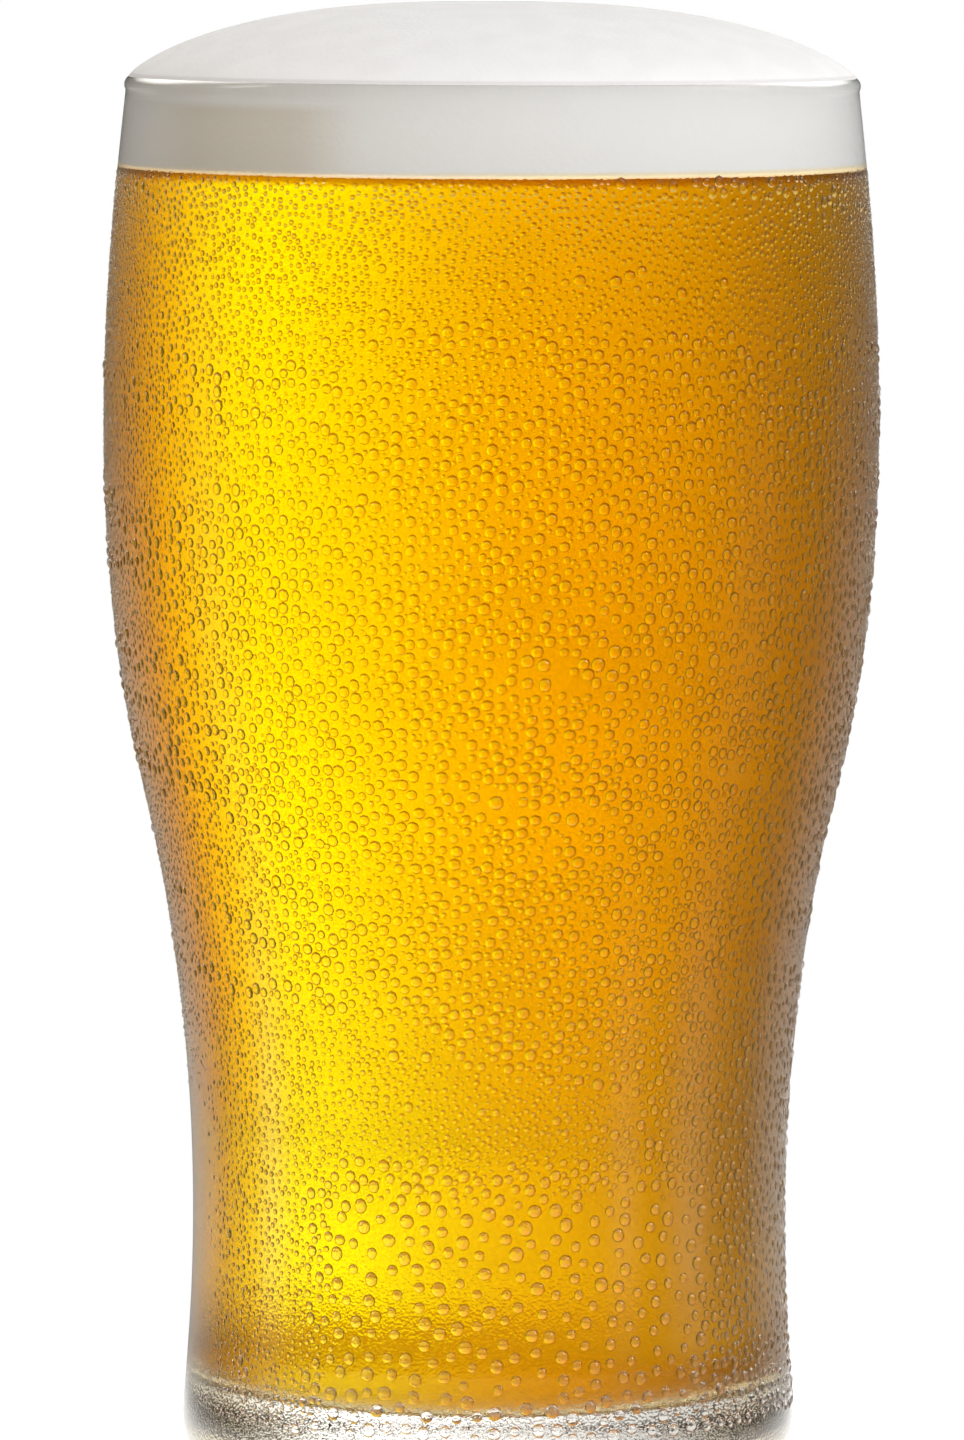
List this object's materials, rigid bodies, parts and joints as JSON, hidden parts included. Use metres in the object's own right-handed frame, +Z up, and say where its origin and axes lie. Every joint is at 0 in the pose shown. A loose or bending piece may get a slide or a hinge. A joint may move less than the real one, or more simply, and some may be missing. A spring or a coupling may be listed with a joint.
{
  "type": "pint of beer",
  "caption": "Tulip pint glass with a thick base and a rounded rim, full of golden beer under a domed head of white foam.",
  "frame": {"origin": "middle of the circle that the glass stands on, at the height of the surface under it", "axes": "+Z up along the axis that the glass is turned about; every direction round it is alike"},
  "size_m": [0.0842, 0.0842, 0.16],
  "materials": {
    "clear_glass": "clear, polished, with beads of condensation outside",
    "golden_beer": "clear golden drink",
    "white_foam": "matt, fine bubbles"
  },
  "bodies": {
    "root": {"glass": "clear_glass", "beer": "golden_beer", "foam_head": "white_foam"}
  },
  "joints": []
}
